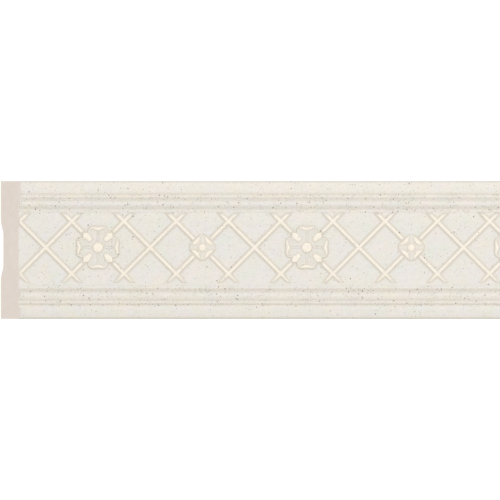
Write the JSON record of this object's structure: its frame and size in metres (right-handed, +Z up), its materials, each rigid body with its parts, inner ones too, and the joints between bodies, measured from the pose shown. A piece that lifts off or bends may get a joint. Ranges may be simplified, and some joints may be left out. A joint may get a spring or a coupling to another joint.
{
  "type": "decorative wall moulding",
  "caption": "Flat wall moulding in extruded foam: moulded edges with beads, and a field of diamond lattice with large and small rosettes, glued to a wall.",
  "frame": {"origin": "on the back plane that meets the wall, in the middle of the upper glue land and of the length", "axes": "+X along the length towards the square end, +Z up the wall, +Y into the wall; the face looks to -Y"},
  "size_m": [0.345, 0.0141, 0.095],
  "materials": {
    "moulding_paint": "matt warm white paint with fine grey-brown speckles and cream crests over pale beige foam"
  },
  "bodies": {
    "root": {"moulding": "moulding_paint"}
  },
  "joints": []
}
